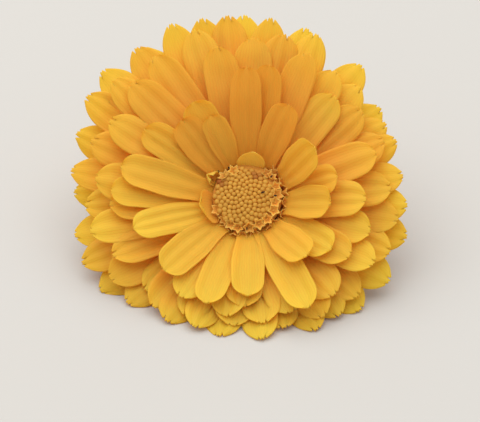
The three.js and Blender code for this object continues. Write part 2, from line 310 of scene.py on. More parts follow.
def spiral_rays(draw):
    rays = []
    for k in range(SPIRAL_COUNT):
        share = k / (SPIRAL_COUNT - 1)
        late = 1 - (1 - share) ** 2
        radius, height, _, rise, tip_rise, width, cup = [
            first + (last - first) * share for first, last in zip(SPIRAL_FIRST, SPIRAL_LAST)
        ]
        length = SPIRAL_FIRST[2] + (SPIRAL_LAST[2] - SPIRAL_FIRST[2]) * late
        azimuth = k * GOLDEN_ANGLE + draw(ANGLE_SPREAD)
        lift = SAG * share * math.sin(math.radians(azimuth)) + draw(RISE_SPREAD)
        oval = OVAL_SHARE * math.cos(2 * (math.radians(azimuth) - OVAL_SIDE))
        length *= 1 + LONG_SHARE * math.cos(math.radians(azimuth) - LONG_SIDE) + oval
        length *= 1 + draw(LENGTH_SPREAD)
        tip_rise += lift + draw(RISE_SPREAD)
        ray = Blade(azimuth, length, rise + lift, tip_rise, width, radius, height, cup)
        ray.roll = draw(ROLL_SPREAD)
        ray.width *= 1 + draw(WIDTH_SPREAD)
        ray.deep = DEEP_FIRST + (1 - DEEP_FIRST) * share
        clearance = STACK_HEIGHT * max(0, 1 - RESTING_SHARE - share) - REST_DIP
        rays.append(raise_over(ray, clearance))
    return rays


SPIRAL = spiral_rays(draw_ray)
print(len(SPIRAL), "ray florets, the longest", round(max(ray.length for ray in SPIRAL), 1), "mm")

# %% [markdown]
# Thin florets can follow the photo more closely than thick solids, so a few changes come on top. On two
# sides the outer ones reach further. The short ones stand closer to the disc, with a tiny folded one
# between them that is too small for a solid. The inner ones and the first of the spiral are bent up at
# the root, against the disc's rim, which keeps the gaps between them shallow.

# %% Closer to the photo
# Direction, spread to both sides and share of the length
REACHES = [(140, 24, 0.06), (207, 22, 0.08)]
# Each short one's change of radius, height and length, how pale it is, and how deep it lies, which sets its
# painted amber glow at the root
SHORT_CHANGES = [(-1.8, 1.0, 1.4, 0.9, 0.0), (-1.2, 1.0, 0.0, 0.0, 0.3)]
FOLDED_RAY = Blade(152, 3.0, 52, 84, 3.8, 7.7, -1.1, 0.75, pale=0.9)
CLAW_LIFT = 1.4
CLAW_EASE = 4.5
FOLLOW_LIFT = 0.9
FOLLOW_EASE = 1.5
FOLLOW_COUNT = 30

for side, spread, share in REACHES:
    for ray in SPIRAL:
        aside = abs((ray.azimuth - side + 180) % 360 - 180)
        ray.length *= 1 + share * smooth(spread, 0, aside)
SHORT = INNER[len(INNER_RAYS):]
for ray, (inward, upward, longer, pale, deep) in zip(SHORT, SHORT_CHANGES):
    ray.radius += inward
    ray.height += upward
    ray.length += longer
    ray.pale = pale
    ray.deep = deep
SHORT.append(FOLDED_RAY)
INNER = INNER[:len(INNER_RAYS)]
for ray in INNER:
    ray.height += CLAW_LIFT
    ray.rise -= CLAW_EASE
for k, ray in enumerate(SPIRAL):
    ray.height += FOLLOW_LIFT * smooth(FOLLOW_COUNT, 0, k)
    ray.rise -= FOLLOW_EASE * smooth(FOLLOW_COUNT, 0, k)
print(len(INNER), "inner,", len(SHORT), "short and", len(SPIRAL), "spiral ray florets")

# %% [markdown]
# The blank of a blade is a thin closed sheet, one unit long and two units wide. It could be a plane with
# a picture of a petal cut out of it, but then its edge would be flat and its teeth painted. So rows of
# points follow the outline, closer together towards the tip, on an upper and a lower sheet that a rim
# joins.

# %% A flat blank
EDGE_SHARE = 0.35
ROW_CROWDING = 1.35
TEETH_FROM = 0.82


def as_mesh(name, shape):
    mesh = bpy.data.meshes.new(name)
    shape.to_mesh(mesh)
    shape.free()
    return mesh


def blank_mesh(name, columns, rows, outline, end_drop, relief, heel=0.0):
    """x is the width share, y the length share and z the side of the sheet, from -1 to 1."""
    shape = bmesh.new()
    layers = [shape.verts.layers.float.new(key) for key in ("across", "along", "breadth", "relief")]
    sheets = []
    for side in (1, -1):
        sheet = []
        for j in range(rows + 1):
            along = 1 - (1 + heel) * (1 - j / rows) ** ROW_CROWDING
            half, breadth = outline(along)
            line = []
            for i in range(columns + 1):
                across = 2 * i / columns - 1
                thick = EDGE_SHARE + (1 - EDGE_SHARE) * math.sqrt(max(0, 1 - across ** 2))
                reach = along - end_drop(across) * smooth(TEETH_FROM, 1, along)
                vertex = shape.verts.new((across * half, reach, side * thick))
                for layer, number in zip(layers, (across, along, breadth, relief(across, along))):
                    vertex[layer] = number
                line.append(vertex)
            sheet.append(line)
        sheets.append(sheet)
    top, bottom = sheets
    for j in range(rows):
        for i in range(columns):
            shape.faces.new((top[j][i], top[j][i + 1], top[j + 1][i + 1], top[j + 1][i]))
            shape.faces.new((bottom[j][i], bottom[j + 1][i], bottom[j + 1][i + 1], bottom[j][i + 1]))
    rim = [(0, i) for i in range(columns)] + [(j, columns) for j in range(rows)]
    rim += [(rows, i) for i in range(columns, 0, -1)] + [(j, 0) for j in range(rows, 0, -1)]
    for (j, i), (next_j, next_i) in zip(rim, rim[1:] + rim[:1]):
        shape.faces.new((top[j][i], bottom[j][i], bottom[next_j][next_i], top[next_j][next_i]))
    print(name, len(shape.verts), "points")
    return as_mesh(name, shape)


# %% [markdown]
# A ray floret grew together from three petals, so its tip has three small teeth, and blunt ribs run
# between the lines where they joined. Three blanks with other teeth and ribs are enough for the long
# florets: turned, bent and creased, no two look alike. The inner ones get rounder tips, and the short
# ones a plain round blank.

# %% Blanks of the ray florets
# Where a tip begins to narrow, where it would close, how blunt it is, and how far its corners fall back
TOOTHED_TIP = (0.76, 1.015, 2.3, 0.03)
ROUND_TIP = (0.79, 1.003, 2.2, 0.01)
SHORT_TIP = (0.1, 1.015, 2.3, 0.03)
NOTCH_BREADTH = 0.1
# Where the notches between the teeth are, across the tip, and how deep, as shares of the length
TOOTH_PATTERNS = [
    {-0.4: 0.034, 0.02: 0.012, 0.4: 0.026},
    {-0.5: 0.018, -0.12: 0.012, 0.3: 0.036},
    {-0.3: 0.024, 0.1: 0.01, 0.5: 0.024},
    {},
]
# Each blank's number of ribs, and how far they are shifted across
RIB_COUNTS = [(3, 0.0), (3, 0.14), (2, -0.1), (1, 0.2)]
# Ribs rise past the claw and sink by a part towards the tip and the edges
RIB_RISE = (0.02, 0.2)
RIB_FALL = (0.75, 1)
RIB_TIP_LOSS = 0.55
RIB_EDGE_LOSS = 0.4


def ray_blank(number, columns, rows, claw, heel=0.0, tip=TOOTHED_TIP, teeth=1.0):
    round_start, round_end, power, fall = tip
    notches = TOOTH_PATTERNS[number]
    ribs, skew = RIB_COUNTS[number]

    def outline(along):
        breadth = ray_outline(along, claw)
        past = max(0, along - round_start) / (round_end - round_start)
        return breadth * (1 - past ** power) ** (1 / power), breadth

    def end_drop(across):
        notch = sum(
            depth * math.exp(-((across - place) / NOTCH_BREADTH) ** 2) for place, depth in notches.items()
        )
        return fall * across ** 2 + teeth * notch

    def relief(across, along):
        fade = smooth(*RIB_RISE, along) * (1 - RIB_TIP_LOSS * smooth(*RIB_FALL, along))
        return fade * math.cos(math.pi * ribs * (across + skew)) * (1 - RIB_EDGE_LOSS * across ** 2)

    return blank_mesh(f"ray_blank_{number}", columns, rows, outline, end_drop, relief, heel)


FINE_BLANKS = [ray_blank(n, 24, 44, claw=0.68, heel=0.06, tip=ROUND_TIP, teeth=0.6) for n in range(3)]
PLAIN_BLANKS = [ray_blank(n, 20, 34, claw=CLAW_SHARE) for n in range(3)]
SHORT_BLANK = ray_blank(3, 24, 20, claw=0.8, heel=0.1, tip=SHORT_TIP)

# %% [markdown]
# Now the main tool: a node tree that takes one point for each blade, puts a blank on it, and bends the
# blank by the numbers that the point carries. A Simple Deform modifier could bend one blade, but not a
# hundred by numbers of their own. The sums are those of the rule above: the middle line's arc first, then
# the sheet's own relief. A section is built round the middle line, rolled, tilted to the line's slope,
# carried out along the arc and turned round the head's axis. Then the head is laid down, and nothing may
# sink into the surface.

# %% The sums of a blade
BLADE_NUMBERS = ("azimuth", "arc", "start", "turn", "root_radius", "root_height", "half_width", "cup")
BLADE_NUMBERS += ("roll", "drift", "crease", "pick", "shade", "phase", "pale", "deep")
BLANK_NUMBERS = ("across", "breadth", "relief")
BLADE_INPUTS = {
    "Geometry": "Geometry",
    "Blanks": "Collection",
    "Thickness": "Float",
    "Rib height": "Float",
    "Ripple height": "Float",
    "Ripple size": "Float",
    "Clearance": "Float",
    "Lean": "Vector",
    "Place": "Vector",
    "Material": "Material",
}
# Each row: the name of the result, the operation, and the numbers that go in
ARC_SUMS = [
    ("chosen", "FLOOR", "pick"),
    ("angle", "MULTIPLY_ADD", "reach", "turn", "start"),
    ("slope", "MULTIPLY", "angle", -1.0),
    ("twist", "MULTIPLY", "roll", "reach"),
    ("angle_sine", "SINE", "angle"),
    ("angle_cosine", "COSINE", "angle"),
    ("start_sine", "SINE", "start"),
    ("start_cosine", "COSINE", "start"),
    ("sine_gain", "SUBTRACT", "angle_sine", "start_sine"),
    ("cosine_loss", "SUBTRACT", "start_cosine", "angle_cosine"),
    ("outward", "MULTIPLY_ADD", "sine_gain", "arc", "root_radius"),
    ("upward", "MULTIPLY_ADD", "cosine_loss", "arc", "root_height"),
    ("reach_square", "MULTIPLY", "reach", "reach"),
    ("drifting", "MULTIPLY", "reach_square", "drift"),
    ("sideways", "MULTIPLY_ADD", "width", "half_width", "drifting"),
    ("ripple_scale", "DIVIDE", 1.0, "Ripple size"),
]
SHEET_SUMS = [
    ("centred", "SUBTRACT", "noise", 0.5),
    ("growing", "MULTIPLY", "centred", "reach"),
    ("creasing", "MULTIPLY", "crease", "Rib height"),
    ("ribs", "MULTIPLY", "relief", "creasing"),
    ("ripple", "MULTIPLY_ADD", "growing", "Ripple height", "ribs"),
    ("sheet", "MULTIPLY", "side", "Thickness"),
    ("half_sheet", "MULTIPLY_ADD", "sheet", 0.5, "ripple"),
    ("across_square", "MULTIPLY", "across", "across"),
    ("curl", "SUBTRACT", "across_square", CUP_LEVEL),
    ("half", "MULTIPLY", "half_width", "breadth"),
    ("cupping", "MULTIPLY", "half", "cup"),
    ("offset", "MULTIPLY_ADD", "curl", "cupping", "half_sheet"),
]
# How softly a blade comes down on the surface, in millimetres
SOFT_LANDING = 0.4
print(len(ARC_SUMS) + len(SHEET_SUMS), "sums bend a blade")

# %% [markdown]
# Each tree starts from the same frame: geometry in, geometry out, and inputs that have names. The sums
# become Math nodes row by row, and every result keeps its name, so that later rows can use it.

# %% The tree that bends blades
def new_tree(name, inputs):
    """A tree with its named inputs, and the sockets that give them."""
    tree = bpy.data.node_groups.new(name, "GeometryNodeTree")
    for key, kind in inputs.items():
        tree.interface.new_socket(key, in_out="INPUT", socket_type="NodeSocket" + kind)
    tree.interface.new_socket("Geometry", in_out="OUTPUT", socket_type="NodeSocketGeometry")
    return tree, tree.nodes.new("NodeGroupInput").outputs


def blade_tree():
    tree, given = new_tree("bend_blades", BLADE_INPUTS)
    known = {
        name: add(tree, "GeometryNodeInputNamedAttribute", {"Name": name}, data_type="FLOAT")
        for name in BLADE_NUMBERS + BLANK_NUMBERS
    }
    known.update(given.items())
    position = add(tree, "ShaderNodeSeparateXYZ", {0: add(tree, "GeometryNodeInputPosition")})
    known.update(zip(("width", "reach", "side"), position.outputs))

    for name, operation, *sources in ARC_SUMS:
        inputs = {k: known.get(source, source) for k, source in enumerate(sources)}
        known[name] = add(tree, "ShaderNodeMath", inputs, operation=operation)
    line = add(tree, "ShaderNodeCombineXYZ", {
        0: known["sideways"], 1: known["outward"], 2: known["upward"],
    })
    known["noise"] = add(tree, "ShaderNodeTexNoise", {
        "Vector": line, "W": known["phase"], "Scale": known["ripple_scale"], "Detail": 1.0,
    }, noise_dimensions="4D")
    for name, operation, *sources in SHEET_SUMS:
        inputs = {k: known.get(source, source) for k, source in enumerate(sources)}
        known[name] = add(tree, "ShaderNodeMath", inputs, operation=operation)

    point = add(tree, "ShaderNodeCombineXYZ", {1: known["sideways"], 2: known["offset"]})
    for angle, axis in (("twist", "X_AXIS"), ("slope", "Y_AXIS")):
        point = add(tree, "ShaderNodeVectorRotate", {"Vector": point, "Angle": known[angle]},
                    rotation_type=axis)
    middle = add(tree, "ShaderNodeCombineXYZ", {0: known["outward"], 2: known["upward"]})
    carried = add(tree, "ShaderNodeVectorMath", {0: point, 1: middle}, operation="ADD")
    turned = add(tree, "ShaderNodeVectorRotate", {"Vector": carried, "Angle": known["azimuth"]},
                 rotation_type="Z_AXIS")

    blanks = add(tree, "GeometryNodeCollectionInfo", {
        "Collection": given["Blanks"], "Separate Children": True,
    })
    copies = add(tree, "GeometryNodeInstanceOnPoints", {
        "Points": given["Geometry"], "Instance": blanks, "Pick Instance": True,
        "Instance Index": known["chosen"],
    })
    loose = add(tree, "GeometryNodeRealizeInstances", {"Geometry": copies})
    bent = add(tree, "GeometryNodeSetPosition", {"Geometry": loose, "Position": turned})
    laid = add(tree, "GeometryNodeTransform", {
        "Geometry": bent, "Translation": given["Place"], "Rotation": given["Lean"],
    })
    x, y, z = add(tree, "ShaderNodeSeparateXYZ", {0: add(tree, "GeometryNodeInputPosition")}).outputs
    lifted = add(tree, "ShaderNodeMath", {0: z, 1: given["Clearance"], 2: SOFT_LANDING},
                 operation="SMOOTH_MAX")
    above = add(tree, "ShaderNodeCombineXYZ", {0: x, 1: y, 2: lifted})
    clear = add(tree, "GeometryNodeSetPosition", {"Geometry": laid, "Position": above})
    painted = add(tree, "GeometryNodeSetMaterial", {"Geometry": clear, "Material": given["Material"]})
    add(tree, "NodeGroupOutput", {0: painted})
    return tree


BEND_BLADES = blade_tree()
print("the tree has", len(BEND_BLADES.nodes), "nodes")

# %% [markdown]
# A tree runs as a modifier on an object that holds only points. Its inputs are set by their identifiers
# before Blender looks at the object for the first time. The modifier could stay, but then every later
# step would depend on it, so its result is read back as a plain mesh and it is removed.

# %% Run a tree on points
def points_mesh(name, places, numbers):
    """Loose points that carry numbers: one list for each attribute."""
    mesh = bpy.data.meshes.new(name)
    mesh.from_pydata(places, [], [])
    for key, values in numbers.items():
        mesh.attributes.new(key, "FLOAT", "POINT").data.foreach_set("value", values)
    return mesh


def applied(mesh, kind, prepare):
    """The plain mesh that a modifier makes of a mesh."""
    carrier = bpy.data.objects.new("carrier", mesh)
    bpy.context.collection.objects.link(carrier)
    modifier = carrier.modifiers.new("step", kind)
    prepare(modifier)
    evaluated = carrier.evaluated_get(bpy.context.evaluated_depsgraph_get())
    made = bpy.data.meshes.new_from_object(evaluated)
    carrier.modifiers.remove(modifier)
    bpy.data.objects.remove(carrier)
    return made


def run_tree(tree, mesh, values):
    def prepare(modifier):
        modifier.node_group = tree
        for item in tree.interface.items_tree:
            if item.item_type == "SOCKET" and item.in_out == "INPUT" and item.name in values:
                modifier[item.identifier] = values[item.name]

    return applied(mesh, "NODES", prepare)


def collection_of(name, meshes):
    """Blanks in a collection of their own, in the order of their names."""
    group = bpy.data.collections.new(name)
    for mesh in meshes:
        group.objects.link(bpy.data.objects.new(mesh.name, mesh))
    return group


# %% [markdown]
# Petal tissue gets its colour from yellow and orange carotenoids and lets light through. A photo of
# petals would bring its own light and shade along, so the finish is built up from nodes: a soft satin
# skin mixed with translucency, golden at the claw and clearer yellow along the blade. Lower florets are
# painted amber at the root, a painted glow of light that has passed through the florets over them, and
# the outermost are lemon at the tip. Florets behind the disc are painted a deeper orange, as shade.
# Light that has passed through several florets turns orange by itself, which gives the glow deep between
# them. Fine nerves run lengthwise, about 0.6 mm apart, deeper in colour and raised.

# %% Petal material
NERVES_ACROSS = 13
MOTTLE_SIZE = 2.5 * MM
CELL_SIZE = 0.25 * MM
NERVE_WOBBLE = 0.16
NERVE_SHARE = 0.16
NERVE_HEIGHT = 0.06 * MM
CELL_HEIGHT = 0.35
FILTER_SHARE = 0.36
PETAL_LIGHT_SHARE = 0.6


def empty_material(name):
    material = bpy.data.materials.new(name)
    material.use_nodes = True
    material.node_tree.nodes.clear()
    return material, material.node_tree


def petal_material(name, claw, blade, tip, glow, pale, root, lemon):
    material, tree = empty_material(name)
    own = {
        key: add(tree, "ShaderNodeAttribute", attribute_type="GEOMETRY", attribute_name=key).outputs["Fac"]
        for key in ("across", "along", "shade", "phase", "pale", "deep")
    }
    place = add(tree, "ShaderNodeTexCoord").outputs["Object"]
    mottle = add(tree, "ShaderNodeTexNoise", {"Vector": place, "Scale": 1 / MOTTLE_SIZE, "Detail": 3.0})
    wobble = add(tree, "ShaderNodeMath", {0: mottle, 1: NERVE_WOBBLE, 2: own["across"]},
                 operation="MULTIPLY_ADD")
    turns = add(tree, "ShaderNodeMath", {0: wobble, 1: math.pi * NERVES_ACROSS, 2: own["phase"]},
                operation="MULTIPLY_ADD")
    wave = add(tree, "ShaderNodeMath", {0: turns}, operation="SINE")
    # Each share: what it is read from, the range read, and the numbers it runs between
    ranges = {
        "nerve": (wave, 0.1, 1.0, 0.0, 1.0),
        "uneven": (mottle, 0.2, 0.8, -0.12, 0.12),
        "tone_and_painted_shade": (own["shade"], -1.0, 1.6, 0.0, 0.5),
        "low_down": (own["along"], 0.35, 0.9, 0.85, 0.0),
        "tipward": (own["along"], 0.74, 1.0, 0.0, 0.5),
        "outmost": (own["deep"], 0.6, 1.0, 0.0, 1.0),
    }
    share = {key: add(tree, "ShaderNodeMapRange", dict(enumerate(row))) for key, row in ranges.items()}
    for key, first, second in (
        ("painted_root_glow", share["low_down"], own["deep"]),
        ("lined", share["nerve"], NERVE_SHARE),
        ("rimward", share["tipward"], share["outmost"]),
    ):
        share[key] = add(tree, "ShaderNodeMath", {0: first, 1: second}, operation="MULTIPLY")

    shifted = add(tree, "ShaderNodeMath", {0: share["uneven"], 1: own["along"]}, operation="ADD")
    ramp = add(tree, "ShaderNodeValToRGB", {0: shifted})
    stops = [(0.04, claw), (0.42, blade), (0.60, blade), (0.94, tip)]
    ramp.color_ramp.elements.new(0.5)
    ramp.color_ramp.elements.new(0.6)
    for element, (spot, colour) in zip(ramp.color_ramp.elements, stops):
        element.position = spot
        element.color = linear(colour)
    colour = ramp.outputs[0]
    # Each tint goes over the one before: warmer florets by random tone and by painted shade behind the
    # disc, painted glow at the amber roots, pale florets, nerves, lemon tips
    for amount, tint in (
        (share["tone_and_painted_shade"], glow),
        (share["painted_root_glow"], root),
        (own["pale"], pale),
        (share["lined"], glow),
        (share["rimward"], lemon),
    ):
        mixed = add(tree, "ShaderNodeMix", {0: amount, 6: colour, 7: linear(tint)}, data_type="RGBA")
        colour = mixed.outputs[2]

    cells = add(tree, "ShaderNodeTexNoise", {"Vector": place, "Scale": 1 / CELL_SIZE, "Detail": 1.0})
    height = add(tree, "ShaderNodeMath", {0: cells, 1: CELL_HEIGHT, 2: share["nerve"]},
                 operation="MULTIPLY_ADD")
    bump = add(tree, "ShaderNodeBump", {"Strength": 0.3, "Distance": NERVE_HEIGHT, "Height": height})
    skin = add(tree, "ShaderNodeBsdfPrincipled", {
        "Base Color": colour, "Roughness": 0.56, "IOR": 1.4, "Specular IOR Level": 0.35, "Normal": bump,
        "Sheen Weight": 0.12, "Sheen Roughness": 0.5,
    })
    filtered = add(tree, "ShaderNodeMix", {0: FILTER_SHARE, 6: colour, 7: linear(glow)}, data_type="RGBA")
    through = add(tree, "ShaderNodeBsdfTranslucent", {"Color": filtered.outputs[2], "Normal": bump})
    both = add(tree, "ShaderNodeMixShader", {0: PETAL_LIGHT_SHARE, 1: skin, 2: through})
    add(tree, "ShaderNodeOutputMaterial", {0: both})
    return material


PETAL = petal_material(
    "calendula_petal_tissue", claw="#fcd648", blade="#fbe14d", tip="#f9e84f", glow="#ec962d",
    pale="#f8e45c", root="#ffb654", lemon="#f8e840",
)
print("petal material:", len(PETAL.node_tree.nodes), "nodes")

# %% [markdown]
# The ray florets are made in four pieces, so that each stays a handy mesh: the inner ring with broad
# claws and the finest blanks, the short ones, and two halves of the spiral. Copies of one floret would
# look stamped out, so small extra numbers make them individuals: a sideways drift, a little more or less
# cup and crease, the blank to use and a tone of colour.

# %% Ray florets
RAY_SHEET = 0.3
RAY_RIB = 0.15
RAY_DRIFT = 0.9
# Height and size of the ripples
RAY_RIPPLE = (1.6, 9.0)
SURFACE_GAP = 0.02
# Painted shade: florets behind the disc are coloured a deeper orange than those in front of it
PAINTED_SHADE_BEHIND = 1.0
CUP_SPREAD = 0.07
CREASE_SPREAD = 0.6
PICK_SPREAD = 0.99
TONE_SPREAD = 0.7
PHASE_SPREAD = 10


def bend(name, blades, blanks, draw, material, rib_height, ripple,
         sheet=RAY_SHEET, drift=RAY_DRIFT, uneven=1.0):
    """Blades on their arcs. Uneven scales how far cups and creases vary."""
    numbers = {key: [] for key in BLADE_NUMBERS}
    for blade in blades:
        turn = math.radians(blade.tip_rise - blade.rise)
        # Painted shade: florets behind the disc get a deeper orange tone, less so the deeper they lie
        behind = PAINTED_SHADE_BEHIND * math.sin(math.radians(blade.azimuth)) * (1 - blade.deep)
        row = (
            math.radians(blade.azimuth), blade.length / turn, math.radians(blade.rise), turn, blade.radius,
            blade.height, blade.width / 2, blade.cup + uneven * draw(CUP_SPREAD), math.radians(blade.roll),
            draw(drift), 1 + uneven * draw(CREASE_SPREAD), len(blanks) / 2 * (1 + draw(PICK_SPREAD)),
            draw(TONE_SPREAD) + behind, PHASE_SPREAD + draw(PHASE_SPREAD), blade.pale, blade.deep,
        )
        for key, number in zip(BLADE_NUMBERS, row):
            numbers[key].append(number)
    mesh = points_mesh(name, [(0, 0, 0)] * len(blades), numbers)
    return run_tree(BEND_BLADES, mesh, {
        "Blanks": collection_of(name + "_blanks", blanks),
        "Thickness": sheet,
        "Rib height": rib_height,
        "Ripple height": ripple[0],
        "Ripple size": ripple[1],
        "Clearance": SURFACE_GAP,
        "Lean": (LEAN, 0, TURN),
        "Place": tuple(DISC_CENTRE),
        "Material": material,
    })


draw_detail = draws(733)
MIDDLE = SPIRAL_COUNT // 2
for name, rays, blanks in (
    ("ray_florets_inner", INNER, FINE_BLANKS),
    ("ray_florets_short", SHORT, [SHORT_BLANK]),
    ("ray_florets_middle", SPIRAL[:MIDDLE], PLAIN_BLANKS),
    ("ray_florets_outer", SPIRAL[MIDDLE:], PLAIN_BLANKS),
):
    mesh = bend(name, rays, blanks, draw_detail, PETAL, RAY_RIB, RAY_RIPPLE)
    as_piece(name, mesh, PETAL, "ray_florets", lay_down=False)

# %% [markdown]
# The fleshy parts have one plain tissue each. One even colour would look like wax, so two tones of it are
# mixed in patches under a fine grainy skin. Grains of 0.25 mm are as fine as the picture can show.

# %% Plain tissue material
PATCH_RANGE = (0.25, 0.75)
GRAIN_HEIGHT = 0.05 * MM


def tissue_material(name, low, high, patch_size, roughness):
    """Two tones of one tissue, in patches whose size is given in millimetres."""
    material, tree = empty_material(name)
    place = add(tree, "ShaderNodeTexCoord").outputs["Object"]
    patches = add(tree, "ShaderNodeTexNoise", {
        "Vector": place, "Scale": 1 / (patch_size * MM), "Detail": 4.0,
    })
    share = add(tree, "ShaderNodeMapRange", {0: patches, 1: PATCH_RANGE[0], 2: PATCH_RANGE[1]})
    colour = add(tree, "ShaderNodeMix", {0: share, 6: linear(low), 7: linear(high)}, data_type="RGBA")
    grain = add(tree, "ShaderNodeTexNoise", {"Vector": place, "Scale": 1 / CELL_SIZE, "Detail": 2.0})
    bump = add(tree, "ShaderNodeBump", {"Strength": 0.5, "Distance": GRAIN_HEIGHT, "Height": grain})
    skin = add(tree, "ShaderNodeBsdfPrincipled", {
        "Base Color": colour.outputs[2], "Roughness": roughness, "Specular IOR Level": 0.3, "Normal": bump,
    })
    add(tree, "ShaderNodeOutputMaterial", {0: skin})
    return material


# Spongy orange flesh, matt: it closes the view between the claws without a glint
RECEPTACLE_FLESH = tissue_material("receptacle_flesh", "#dc8a20", "#efa52c", 1.5, 0.7)
# The same flesh on the disc, browner: partly its own colour and partly painted shade, as it shows only in
# the gaps between buds, so that buds stand out from it
DISC_FLESH = tissue_material("disc_flesh", "#b87a2a", "#c88a34", 0.8, 0.75)
print("tissues:", RECEPTACLE_FLESH.name, "and", DISC_FLESH.name)

# %% [markdown]
# The receptacle and the dome of the disc are turned shapes, as on a lathe. A squashed sphere would do for
# the dome, but not for the rounded collar below it. So an outline runs from the axis below to the axis
# above and is spun.

# %% Turned shapes
def ring_faces(shape, low, high):
    """A band of faces between two rings of points."""
    for k in range(len(low)):
        following = (k + 1) % len(low)
        shape.faces.new((low[k], low[following], high[following], high[k]))


def turned_mesh(name, outline, sides):
    shape = bmesh.new()
    rings = []
    for radius, height in outline[1:-1]:
        ring = []
        for k in range(sides):
            angle = 2 * math.pi * k / sides
            ring.append(shape.verts.new((radius * math.cos(angle), radius * math.sin(angle), height)))
        rings.append(ring)
    ends = [shape.verts.new((0, 0, outline[k][1])) for k in (0, -1)]
    for low, high in zip(rings, rings[1:]):
        ring_faces(shape, low, high)
    for k in range(sides):
        following = (k + 1) % sides
        shape.faces.new((rings[0][following], rings[0][k], ends[0]))
        shape.faces.new((rings[-1][k], rings[-1][following], ends[1]))
    return as_mesh(name, shape)


CORE_OUTLINE = [
    (0, -7.7), (7.2, -7.7), (8.6, -5.8), (9.0, -3.6), (8.6, -2.7),
    (8.0, -2.3), (7.4, -2.4), (7.2, -2.6), (0, -2.6),
]
DISC_OUTLINE = [(0, -2.3), (7.0, -2.3), (7.2, -0.6), (6.9, 0.3), (5.5, 1.0), (3.2, 1.5), (0, 1.75)]
core = turned_mesh("receptacle", CORE_OUTLINE, sides=48)
as_piece("receptacle", core, RECEPTACLE_FLESH, "ray_florets")
dome = turned_mesh("disc_dome", DISC_OUTLINE, sides=48)
as_piece("disc_dome", dome, DISC_FLESH, "disc_florets")

# %% [markdown]
# About 160 small florets cover the disc. Setting each by hand would be slow, and a particle system would
# not lean them by rule. So a second tree sets a blank on each point, which carries how far its floret
# leans, which way, how it is spun, and its size.

# %% The tree that sets out small florets
FLORET_NUMBERS = ("lean", "azimuth", "spin", "wide", "tall", "shade", "browning")


def setting_tree():
    tree, given = new_tree("set_out_florets", {
        "Geometry": "Geometry", "Blanks": "Collection", "Material": "Material",
    })
    own = {
        name: add(tree, "GeometryNodeInputNamedAttribute", {"Name": name}, data_type="FLOAT")
        for name in FLORET_NUMBERS
    }
    blanks = add(tree, "GeometryNodeCollectionInfo", {
        "Collection": given["Blanks"], "Separate Children": True,
    })
    leaning = add(tree, "ShaderNodeCombineXYZ", {1: own["lean"], 2: own["azimuth"]})
    rotation = add(tree, "FunctionNodeEulerToRotation", {0: leaning})
    spinning = add(tree, "ShaderNodeCombineXYZ", {2: own["spin"]})
    spin = add(tree, "FunctionNodeEulerToRotation", {0: spinning})
    turned = add(tree, "FunctionNodeRotateRotation", {0: rotation, 1: spin}, rotation_space="LOCAL")
    size = add(tree, "ShaderNodeCombineXYZ", {0: own["wide"], 1: own["wide"], 2: own["tall"]})
    copies = add(tree, "GeometryNodeInstanceOnPoints", {
        "Points": given["Geometry"], "Instance": blanks, "Rotation": turned, "Scale": size,
    })
    loose = add(tree, "GeometryNodeRealizeInstances", {"Geometry": copies})
    painted = add(tree, "GeometryNodeSetMaterial", {"Geometry": loose, "Material": given["Material"]})
    add(tree, "NodeGroupOutput", {0: painted})
    return tree


SET_OUT = setting_tree()
print("the tree has", len(SET_OUT.nodes), "nodes")

# %% [markdown]
# A closed bud is a plump five-sided knob with a puckered top where its five lobes meet. An open floret is
# a tube that flares into a five-pointed star, hollow in its throat, with the tube of stamens standing in
# it. Both could be sculpted, but at this size rings of points do: a star share says how far a ring
# follows the five points.

# %% Blanks of the disc florets
LOBES = 5
POINT_BLUNTNESS = 0.75
# Rings from the foot on: radius at a lobe and at a notch, height, how far lobes lift, and painted light:
# how light the ring is coloured, darker as painted shade low down and in the throat
BUD_RINGS = [
    (0.72, 0.72, -0.60, 0.0, 0.0),
    (0.96, 0.94, -0.10, 0.0, 0.0),
    (1.02, 0.99, 0.18, 0.0, 0.1),
    (0.91, 0.86, 0.42, 0.0, 0.4),
    (0.63, 0.58, 0.62, 0.0, 0.8),
    (0.26, 0.22, 0.71, 0.0, 1.0),
]
OPEN_RINGS = [
    (0.34, 0.34, -0.90, 0.0, 0.3),
    (0.42, 0.40, 0.00, 0.0, 0.45),
    (0.58, 0.52, 0.50, 0.05, 0.5),
    (0.98, 0.64, 0.70, 0.34, 0.8),
    (1.09, 0.66, 0.72, 0.46, 1.0),
    (1.06, 0.62, 0.82, 0.44, 1.0),
    (0.94, 0.55, 0.76, 0.33, 0.8),
    (0.64, 0.45, 0.58, 0.12, 0.45),
    (0.36, 0.34, 0.34, 0.0, 0.25),
    (0.18, 0.17, 0.28, 0.0, 0.2),
    (0.12, 0.11, 0.52, 0.0, 0.45),
    (0.05, 0.04, 0.58, 0.0, 0.6),
]


def star_mesh(name, rings, sides):
    shape = bmesh.new()
    tone = shape.verts.layers.float.new("tone")
    made = []
    for lobe, notch, height, lobe_lift, number in rings:
        ring = []
        for k in range(sides):
            angle = 2 * math.pi * k / sides
            star = (1 - abs(math.sin(LOBES / 2 * angle))) ** POINT_BLUNTNESS
            radius = notch + (lobe - notch) * star
            point = (radius * math.cos(angle), radius * math.sin(angle), height + lobe_lift * star)
            vertex = shape.verts.new(point)
            vertex[tone] = number
            ring.append(vertex)
        made.append(ring)
    for low, high in zip(made, made[1:]):
        ring_faces(shape, low, high)
    shape.faces.new(made[0][::-1])
    shape.faces.new(made[-1])
    print(name, len(shape.faces), "faces")
    return as_mesh(name, shape)


BUD_BLANK = star_mesh("bud_blank", BUD_RINGS, sides=15)
OPEN_BLANK = star_mesh("open_blank", OPEN_RINGS, sides=20)

# %% [markdown]
# Corolla tissue is waxy orange and lets some light through. It is painted lighter where it stands up into
# the light and darker, as painted shade, low down and in the throat.
# Each floret carries its own share of browning, so they are not all one colour.

# %% Material of the disc florets
SPECKLE_SIZE = 0.4 * MM
SPECKLE_HEIGHT = 0.05 * MM
SHADE_WEIGHT = 0.5
FLORET_LIGHT_SHARE = 0.45


